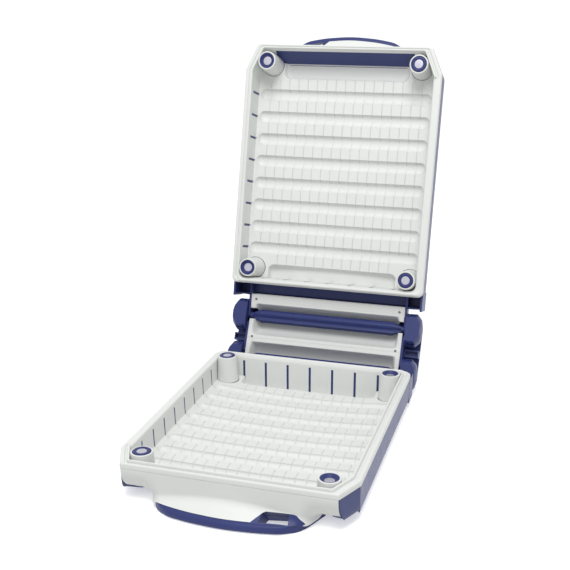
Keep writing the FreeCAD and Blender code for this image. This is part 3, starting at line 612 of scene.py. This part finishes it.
def make_bay():
    """The hinge bay behind the tray, with the arms that reach the rod."""
    shape = Shape()
    for side in (-1, 1):
        for (x0, y0, z0), (x1, y1, z1) in BAY_SIDE.values():
            near, far = sorted((side * x0, side * x1))
            shape.block((near, y0, z0), (far, y1, z1))
    for low, high in BAY_MIDDLE.values():
        shape.block(low, high)
    return soften(shape.object("bay"), EDGE_ROUND)


# ---------------------------------------------------------------- fascia and handle
# Knots of y against |x| for the handle's edge, and of how far its nose stands out
EDGE_LINE = ((0, -171.2), (30, -169.3), (50, -166.3), (65, -162.9), (73, -160.2), (78, -156.0),
             (82, -149.8), (86, -141.0), (90, -131.0), (94, -123.0), (120, -112.0))
NOSE_REACH = ((0, 0.8), (50, 0.8), (60, 0.72), (73, 0.12), (80, -0.35), (86, -0.45), (92, -0.4),
              (120, -0.4))
LEDGE_SLOPE, LEDGE_TOP, LEDGE_FOOT = 0.69, 10.2, 9.8
FASCIA_HALF, FASCIA_TOP, FASCIA_THICKNESS = 114.4, 40.9, 0.75
HANDLE_HALF, HANDLE_BACK = 93.0, -111.0
# Front view of the raised loop beside the handle's middle
LOOP_ZONE = ((26.0, 7.0), (28.7, 9.8), (38.6, 16.2), (41.5, 17.4), (68.0, 17.6), (71.0, 17.3),
             (73.0, 16.3), (75.0, 14.0), (79.2, 9.6), (81.0, 7.0))


def along(knots, x):
    """A smooth curve through a few points, the same on both sides of the middle."""
    x = abs(x)
    k = max(0, min(len(knots) - 2, sum(1 for knot in knots[1:] if knot[0] <= x)))
    (x0, y0), (x1, y1) = knots[k], knots[k + 1]
    before = knots[k - 1] if k else (-knots[1][0], knots[1][1])
    after = knots[min(k + 2, len(knots) - 1)]
    m0, m1 = (y1 - before[1]) / (x1 - before[0]), (after[1] - y0) / (after[0] - x0)
    t, h = (x - x0) / (x1 - x0), x1 - x0
    return ((2 * t ** 3 - 3 * t ** 2 + 1) * y0 + (t ** 3 - 2 * t ** 2 + t) * h * m0
            + (3 * t ** 2 - 2 * t ** 3) * y1 + (t ** 3 - t ** 2) * h * m1)


def under_curve(z):
    """Y of the front wall at its ends, where it curves under towards its foot."""
    drop = 40.0 - z
    if drop <= 0:
        return FRONT
    limit = UNDER_RADIUS * 0.96
    curve = FRONT + UNDER_RADIUS - math.sqrt(UNDER_RADIUS ** 2 - min(drop, limit) ** 2)
    return curve + max(drop - limit, 0.0) * 2.4


def wall_line(x, z):
    """Y of the front wall: upright in the middle, curved under at the ends."""
    t = float(smooth((abs(x) - 72.0) / 24.0))
    return (FRONT + 0.03 * (41.0 - z)) * (1 - t) + under_curve(z) * t


def blend_out(a, b, width):
    """The outer of two surfaces, with a hollow fillet where they meet."""
    h = max(width - abs(a - b), 0.0) / width
    return min(a, b) - h * h * width / 4


def ledge_line(x, z):
    """Y of the sloping ledge above the handle; its ends flare out as they rise."""
    flare = max(abs(x) - 0.35 * (z - LEDGE_TOP), 60.0) if abs(x) > 60 else abs(x)
    return along(EDGE_LINE, flare) + (z - LEDGE_TOP) / LEDGE_SLOPE


def ledge_foot(x):
    """Height of the ledge's lower edge: it drops where the ledge turns back at its ends."""
    drop = float(smooth((abs(x) - 73.0) / 12.0)) * (1 - float(smooth((abs(x) - 89.0) / 6.0)))
    return LEDGE_FOOT - 5.8 * drop


def fascia_point(x, z):
    """A point of the front's surface, where the wall and the ledge meet in a soft crease."""
    return (x, blend_out(wall_line(x, z), ledge_line(x, z), 6.0), z)


def closed_sheet(name, rows, back):
    """A thin closed solid between a front and a back surface."""
    shape = Shape()
    shape.grid(rows)
    shape.grid(back, flip=True)
    for edge in ([rows[0], back[0]], [rows[-1], back[-1]],
                 [[row[0] for row in rows], [row[0] for row in back]],
                 [[row[-1] for row in rows], [row[-1] for row in back]]):
        shape.grid(edge)
    return shape.object(name)


def across(half, count):
    """Even steps in x from -half to half, with count of them on each side of the middle."""
    return [half * (-1 + i / count) for i in range(2 * count + 1)]


def front_sheet(thickness, name, low=0.0):
    """The front's surface with the given thickness behind it, from the rim down to its foot less low."""
    xs, levels = across(FASCIA_HALF, 112), 56
    rows = []
    for k in range(levels + 1):
        t = (k / levels) ** 0.94
        rows.append([fascia_point(x, FASCIA_TOP + (ledge_foot(x) - low - FASCIA_TOP) * t) for x in xs])
    back = [[(x, y + thickness, z) for x, y, z in row] for row in rows]
    return closed_sheet(name, rows, back)


def loop_zone():
    """A closed solid through the front over the loop's outline."""
    shape = Shape()
    shape.bar([[(x, y, z) for x, z in LOOP_ZONE] for y in (-190.0, -120.0)])
    return shape.object("loop_zone")


def make_fascia():
    """The white front, open where the lanyard loop stands."""
    return subtract(front_sheet(FASCIA_THICKNESS, "fascia"), loop_zone())


def lanyard_slot():
    """The slot behind the loop, between a leaning left end and a leaning right end set further back."""
    profile = [(-168.8, 22.0), (-168.8, 9.0), (-168.6, 4.0), (-168.6, -1.0), (-146.0, -1.0), (-157.8, 16.0),
               (-157.8, 22.0)]
    shape = Shape()
    shape.bar([[(x + lean * (y + 160.0) / 8.0, y + back, z) for y, z in profile]
               for x, lean, back in ((38.0, 1.5, 0.0), (65.0, -0.5, 4.6))])
    return shape.object("slot")


def make_handle():
    """The blue strip with a rounded nose, and the lanyard loop that stands up from it."""
    nose = [(-4.0, 9.7), (-0.6, 9.7), (0.3, 9.6), (1.2, 9.35), (4.4, 8.5), (5.2, 8.1), (6.3, 7.0), (7.3, 5.4),
            (7.9, 3.6), (7.5, 2.0), (6.6, 0.9), (5.4, 0.25), (4.0, 0.0)]
    xs = across(HANDLE_HALF, 110)
    rows = [[(x, HANDLE_BACK, 9.7) for x in xs]]
    for reach, z in nose:
        row = []
        for x in xs:
            out = reach * (along(NOSE_REACH, x) if reach > 0 else 1.0)
            row.append((x, along(EDGE_LINE, x) - out, z * ledge_foot(x) / LEDGE_FOOT))
        rows.append(row)
    rows.append([(x, HANDLE_BACK, 0.0) for x in xs])
    strip = Shape()
    strip.grid(rows, wrap_rows=True)
    strip.cap([row[0] for row in rows])
    strip.cap([row[-1] for row in rows], True)
    loop = combine(front_sheet(14.0, "loop", 1.2), loop_zone(), "INTERSECT")
    grip = combine(strip.object("handle"), loop, "UNION")
    return subtract(grip, lanyard_slot())


# ---------------------------------------------------------------- posts and inserts
# Sections, as radius and height, of a post's top, the inserts and a disc below its face
POST_CREST = ((POST_TOP_RADIUS, 50.9), (POST_TOP_RADIUS - 0.25, 51.5), (POST_TOP_RADIUS - 0.8, POST_TOP),
              (10.3, POST_TOP), (10.0, 51.5), (10.0, 43.0), (TIP, 43.0))
PLUG = ((TIP, 43.2), (9.5, 43.2), (9.5, 51.5), (9.35, 52.0), (8.8, 52.4), (7.8, 52.65), (6.7, 52.55),
        (5.9, 52.2), (5.65, 51.7), (5.65, 50.6), (TIP, 50.6))
SOCKET = ((TIP, 43.2), (9.95, 43.2), (9.95, 50.8), (9.8, 51.3), (9.3, 51.6), (8.8, 51.5), (8.3, 51.0),
          (7.4, 49.6), (6.4, 49.1), (5.8, 48.9), (5.65, 48.5), (5.65, 47.6), (TIP, 47.6))
DISC = ((TIP, -1.4), (5.5, -1.4), (5.5, -0.35), (5.35, -0.1), (5.0, 0.0), (TIP, 0.05))
DISC_FACE = {"left": 51.9, "right": 48.75}


def make_posts():
    """The four hollow-topped posts."""
    shape = Shape()
    for x, y in POSTS.values():
        shape.lathe([(TIP, POST_BOTTOM), (POST_FOOT_RADIUS, POST_BOTTOM), *POST_CREST], (x, y, 0), 64)
    return shape.object("posts")


def make_inserts(profile, side):
    """The two inserts on one side of the tray."""
    shape = Shape()
    for name, (x, y) in POSTS.items():
        if name.endswith(side):
            shape.lathe(profile, (x, y, 0), 64)
    return shape.object("inserts")


def make_discs():
    """The bright discs, high in the plugs and low in the sockets."""
    shape = Shape()
    for name, (x, y) in POSTS.items():
        face = DISC_FACE[name.split("_")[1]]
        shape.lathe([(r, face + z) for r, z in DISC], (x, y, 0), 48)
    return shape.object("discs")


# ---------------------------------------------------------------- hinge rod, white strips and spine
ROD_RADIUS, ROD_HALF, ROD_TAPER_END, CORE_RADIUS, CORE_HALF = 8.9, 91.0, 103.0, 4.4, 116.9
RIDGES, RIDGE_DEPTH, RIDGE_TURN = 8, 2.1, 0.2
STRIP_HALF, SCOOP_HALF, STRIP_START, STRIP_TOP, STRIP_THICKNESS = 105.4, 97.0, 171.3, 28.0, 1.6
PANEL_FACE, PANEL_THICKNESS = AXIS_Y - 6.8, 1.8
CAP_RADIUS, CAP_INNER, CAP_OUTER, CAP_FACET = 22.0, 109.0, 130.0, 15.2
NOTCH_TURNS, NOTCH_START, NOTCH_END, NOTCH_FLOOR, NOTCH_HALF = (-62, 62, 118, -118), 112.2, 123.0, 18.9, 1.7
BORE_RADIUS, BORE_END = 7.0, 112.5
SCREW_X, STRIP_SCREW_Y = 98.7, 178.1
SCREW_HEAD = ((TIP, -3.0), (1.5, -3.0), (1.5, 0.12), (1.25, 0.3), (0.6, 0.3), (0.45, -0.3), (TIP, -0.35))


def make_rod():
    """The fluted rod: sharp ridges with hollows between them, drawn in to a round core at its ends."""
    sides = RIDGES * 10
    ends = [(CORE_HALF, 0.0), (ROD_TAPER_END, 0.0), (ROD_TAPER_END - 0.6, 0.1), (ROD_HALF + 0.6, 0.95),
            (ROD_HALF, 1.0)]
    stations = [(-x, t) for x, t in ends] + [(x, t) for x, t in ends[::-1]]
    rows = []
    for x, t in stations:
        row = []
        for i in range(sides):
            a = 2 * math.pi * i / sides
            wave = abs(math.sin(RIDGES * a / 2)) ** 0.75
            hollow = RIDGE_DEPTH * wave * (0.3 + 0.7 * t if t else 0.0)
            radius = CORE_RADIUS + (ROD_RADIUS - CORE_RADIUS) * t - hollow
            a += RIDGE_TURN
            row.append((x, AXIS_Y + radius * math.cos(a), AXIS_Z + radius * math.sin(a)))
        rows.append(row)
    shape = Shape()
    shape.bar(rows)
    return shape.object("rod")


def arc(centre, radius, start, end, count):
    """Points (first, second) on an arc, angles in degrees."""
    angles = [math.radians(start + (end - start) * i / count) for i in range(count + 1)]
    return [(centre[0] + radius * math.cos(a), centre[1] + radius * math.sin(a)) for a in angles]


def resample(path, count):
    """The same path with evenly spaced points."""
    lengths = [0.0]
    for p, q in zip(path, path[1:]):
        lengths.append(lengths[-1] + math.dist(p, q))
    wanted = np.linspace(0, lengths[-1], count)
    return list(zip(*[np.interp(wanted, lengths, values) for values in zip(*path)]))


def trough_sheet(name, middle, rim, thickness):
    """A moulded white sheet: the middle follows one path, its ends the other, with a rounded turn between.

    The thickness goes to the right of the paths' direction, seen from +X with +Y to the right.
    """
    left = [-STRIP_HALF] + [-STRIP_HALF + 0.25 + 0.7 * i for i in range(24)]
    xs = left + [-60.0, 0.0, 60.0] + [-x for x in reversed(left)]
    turn = [float(smooth((abs(x) - (SCOOP_HALF - 3.0)) / 6.5)) for x in xs]
    rows = []
    for p, q in zip(middle, rim):
        rows.append([(x, p[0] * (1 - t) + q[0] * t, p[1] * (1 - t) + q[1] * t) for x, t in zip(xs, turn)])
    back = []
    for before, row, after in zip(rows[:1] + rows, rows, rows[1:] + rows[-1:]):
        behind = []
        for (x, y, z), a, b in zip(row, before, after):
            dy, dz = b[1] - a[1], b[2] - a[2]
            length = math.hypot(dy, dz) or 1.0
            behind.append((x, y + thickness * dz / length, z - thickness * dy / length))
        back.append(behind)
    return closed_sheet(name, rows, back)


def make_hinge_strip():
    """White strip in front of the rod, with a scoop that dips under it."""
    flat = [(STRIP_START, 24.0), (STRIP_START, 27.4), (STRIP_START + 0.6, STRIP_TOP), (180.4, STRIP_TOP),
            (180.8, 27.6), (181.2, STRIP_TOP)]
    edge = (183.6, STRIP_TOP)
    scoop = [edge, (184.3, 27.6), (186.0, 24.6), (187.7, 21.0), (189.8, 17.4), (192.6, 14.2), (196.2, 12.1),
             (200.6, 11.3)]
    lip = [edge, (190.0, STRIP_TOP), (190.7, 27.4), (190.8, 19.0)]
    return trough_sheet("hinge_strip", flat + resample(scoop, 22), flat + resample(lip, 22), STRIP_THICKNESS)


def make_spine_panel():
    """White inner panel of the spine: a flat band between two scoops."""
    top = AXIS_Z + SPACING
    low = arc((AXIS_Y - 11.9, AXIS_Z), 22.9, 3, 73, 16)
    high = arc((AXIS_Y - 13.5, top), 27.4, -73, -3, 16)
    groove = [(PANEL_FACE, AXIS_Z + 23.2), (PANEL_FACE, AXIS_Z + 27.8), (PANEL_FACE + 0.45, AXIS_Z + 28.2),
              (PANEL_FACE, AXIS_Z + 28.6), (PANEL_FACE, AXIS_Z + 32.2)]
    band = [(PANEL_FACE + 0.5, AXIS_Z + 22.6), *groove, (PANEL_FACE + 0.5, AXIS_Z + 32.8)]
    rim = [(PANEL_FACE, z) for z in np.linspace(AXIS_Z + 5.6, AXIS_Z + 22.0, len(low))]
    rim += [(PANEL_FACE, AXIS_Z + 22.5), *groove, (PANEL_FACE, AXIS_Z + 32.9)]
    rim += [(PANEL_FACE, z) for z in np.linspace(AXIS_Z + 33.3, top - 5.6, len(high))]
    return trough_sheet("spine_panel", low + band + high, rim, PANEL_THICKNESS)


def make_screws(name, y, z, direction):
    """A pair of screws with a hollow in each head."""
    shape = Shape()
    for x in (-SCREW_X, SCREW_X):
        shape.lathe(SCREW_HEAD, (x, y, z), 24, direction)
    return shape.object(name)


def cutter(low, high):
    """A block to cut with, given as two opposite corners."""
    shape = Shape()
    low, high = zip(*[sorted(pair) for pair in zip(low, high)])
    shape.block(low, high)
    return shape.object("cutter")


def make_cap(side, height):
    """End cap of the spine: a ribbed drum with a sloping outer face, a flat front and notches in its rim."""
    rings = [(TIP, CAP_INNER), (21.5, CAP_INNER), (CAP_RADIUS, 109.4), (CAP_RADIUS, 110.9), (21.2, 111.3),
             (21.2, 112.3), (CAP_RADIUS, 112.7), (CAP_RADIUS, 121.6), (21.5, 122.6), (15.4, 127.8),
             (8.0, 129.6), (TIP, CAP_OUTER)]
    shape = Shape()
    shape.lathe([(r, side * x) for r, x in rings], (0, AXIS_Y, height), 48, "+X")
    start, end = side * (CAP_INNER - 2.0), side * (CAP_OUTER + 1.0)
    facet = cutter((start, AXIS_Y - CAP_RADIUS, height - CAP_RADIUS),
                   (end, AXIS_Y - CAP_FACET, height + CAP_RADIUS))
    cap = subtract(shape.object("cap"), facet)
    centre = Matrix.Translation((0, AXIS_Y, height))
    for turn in NOTCH_TURNS:
        notch = cutter((side * NOTCH_START, -CAP_RADIUS - 0.5, -NOTCH_HALF),
                       (side * NOTCH_END, -NOTCH_FLOOR, NOTCH_HALF))
        moved(notch.data, centre @ Matrix.Rotation(math.radians(turn), 4, "X"))
        cap = subtract(cap, notch)
    bore = Shape()
    bore.lathe([(TIP, start), (BORE_RADIUS, start), (BORE_RADIUS, side * BORE_END), (TIP, side * BORE_END)],
               (0, AXIS_Y, height), 32, "+X")
    return subtract(cap, bore.object("bore"))


def put_soft_copy(node):
    """A copy of one of the spine's CAD nodes with rounded edges, which stands for it."""
    piece = bpy.data.objects.new(node + "_moulded", frame["nodes"][node].data.copy())
    bpy.context.scene.collection.objects.link(piece)
    put(shade(soften(piece, EDGE_ROUND), 32.0), "spine", "navy_plastic", node)


# ---------------------------------------------------------------- build
# The CAD's own pieces wear the same materials; each is then stood for by a finer piece
slot_of = {part["node"]: part["material_slot"] for part in frame["record"]["subparts"]}
for node, thing in frame["nodes"].items():
    thing.data.materials.clear()
    thing.data.materials.append(MATERIALS[slot_of[node]])

put_on_trays(make_liner_walls(), 30.0, "liner_walls", "white_plastic", "liner")
put_on_trays(make_floor(), 38.0, "liner_floor", "white_plastic")
put_on_trays(make_shell(), 30.0, "shell_skin", "navy_plastic", "shell")
put_on_trays(make_bay(), 30.0, "hinge_bay", "navy_plastic")
put_on_trays(make_fascia(), 40.0, "fascia_skin", "white_plastic", "front_fascia")
put_on_trays(make_handle(), 40.0, "handle_skin", "navy_grip", "handle_grip")
put_on_trays(make_posts(), 30.0, "posts", "white_plastic", *["post_" + place for place in POSTS])
put_on_trays(make_slot_ribs(), 30.0, "slot_ribs", "navy_plastic")
put_on_trays(make_inserts(PLUG, "left"), 40.0, "plugs", "navy_grip", "post_plugs")
put_on_trays(make_inserts(SOCKET, "right"), 40.0, "sockets", "navy_grip", "post_sockets")
put_on_trays(make_discs(), 40.0, "discs", "satin_metal", "magnets")
put_on_trays(make_rod(), 28.0, "fluted_rod", "navy_plastic", "hinge_rod")
put_on_trays(make_hinge_strip(), 34.0, "scooped_strip", "white_plastic", "hinge_strip")
put_on_trays(make_window_panel(), 30.0, "window_back", "navy_plastic", "window_panel")
put_on_trays(make_screws("strip_screws", STRIP_SCREW_Y, STRIP_TOP, "+Z"), 30.0, "screw_heads", "dark_screw",
             "strip_screws")

put_on_spine(make_screws("spine_screws", PANEL_FACE, AXIS_Z + SPACING / 2, "-Y"), 30.0, "screw_heads",
             "dark_screw", "spine_screws")
put_on_spine(make_spine_panel(), 34.0, "scooped_panel", "white_plastic", "spine_panel")
for sign, side in ((-1, "left"), (1, "right")):
    for height, level in ((AXIS_Z, "lower"), (AXIS_Z + SPACING, "upper")):
        which = "%s_%s" % (level, side)
        cap = soften(make_cap(sign, height), CAP_ROUND)
        put_on_spine(cap, 30.0, "end_" + which, "navy_plastic", "spine_cap_" + which)
    for kind in ("side_plate", "bracket"):
        put_soft_copy("spine_%s_%s" % (kind, side))
put_soft_copy("spine_cover")


# ---------------------------------------------------------------- stage, light and camera
BACKDROP_START, BACKDROP_RADIUS, BACKDROP_TOP = 4000.0, 2500.0, 7000.0


def make_stage():
    """A pale floor that turns up into a backdrop all round."""
    profile = [(TIP, 0.0)] + [(BACKDROP_START * i / 4, 0.0) for i in range(1, 5)]
    for a in (math.radians(9.0 * i) for i in range(1, 11)):
        profile.append((BACKDROP_START + BACKDROP_RADIUS * math.sin(a),
                        BACKDROP_RADIUS - BACKDROP_RADIUS * math.cos(a)))
    profile.append((BACKDROP_START + BACKDROP_RADIUS, BACKDROP_TOP))
    shape = Shape()
    shape.lathe(profile, (0, 0, 0), 96)
    floor = mesh_object("stage_floor", shape.points, shape.faces)
    for polygon in floor.data.polygons:
        polygon.use_smooth = True
    floor.location.z = -0.6 * MM
    material = plastic("pale_floor", (0.90, 0.90, 0.90), 0.8, 0.003, 0.02)
    shader = material.node_tree.nodes["Principled BSDF"]
    shader.inputs["Emission Color"].default_value = (1, 1, 1, 1)
    shader.inputs["Emission Strength"].default_value = 0.45
    floor.data.materials.append(material)
    floor.visible_diffuse = False


def make_light():
    """A white room and one soft lamp above and in front of the case."""
    world = bpy.data.worlds.new("studio")
    world.use_nodes = True
    background = world.node_tree.nodes["Background"]
    background.inputs["Color"].default_value = (1, 1, 1, 1)
    background.inputs["Strength"].default_value = 0.70
    bpy.context.scene.world = world
    data = bpy.data.lights.new("key", "AREA")
    data.shape = "DISK"
    data.size = 0.9
    data.energy = 20.0
    lamp = bpy.data.objects.new("key", data)
    lamp.location = (0.2, -0.75, 1.75)
    target = Vector((0, 0.05, 0.1))
    lamp.rotation_mode = "QUATERNION"
    lamp.rotation_quaternion = (target - lamp.location).to_track_quat("-Z", "Y")
    bpy.context.scene.collection.objects.link(lamp)


def make_camera():
    """The camera in front of the case, a little to its right and above."""
    azimuth, elevation = math.radians(16.02), math.radians(20.99)
    data = bpy.data.cameras.new("camera")
    data.sensor_width = 36.0
    data.lens = 59.37
    data.shift_x = -0.0337
    data.shift_y = 0.0907
    data.clip_start, data.clip_end = 0.01, 50.0
    camera = bpy.data.objects.new("camera", data)
    camera.location = (0.2988, -0.9177, 0.5085)
    back = Vector((math.sin(azimuth) * math.cos(elevation), -math.cos(azimuth) * math.cos(elevation),
                   math.sin(elevation)))
    camera.rotation_mode = "QUATERNION"
    camera.rotation_quaternion = (-back).to_track_quat("-Z", "Y")
    bpy.context.scene.collection.objects.link(camera)
    bpy.context.scene.camera = camera


make_stage()
make_light()
make_camera()
bpy.context.scene.view_settings.view_transform = "Standard"
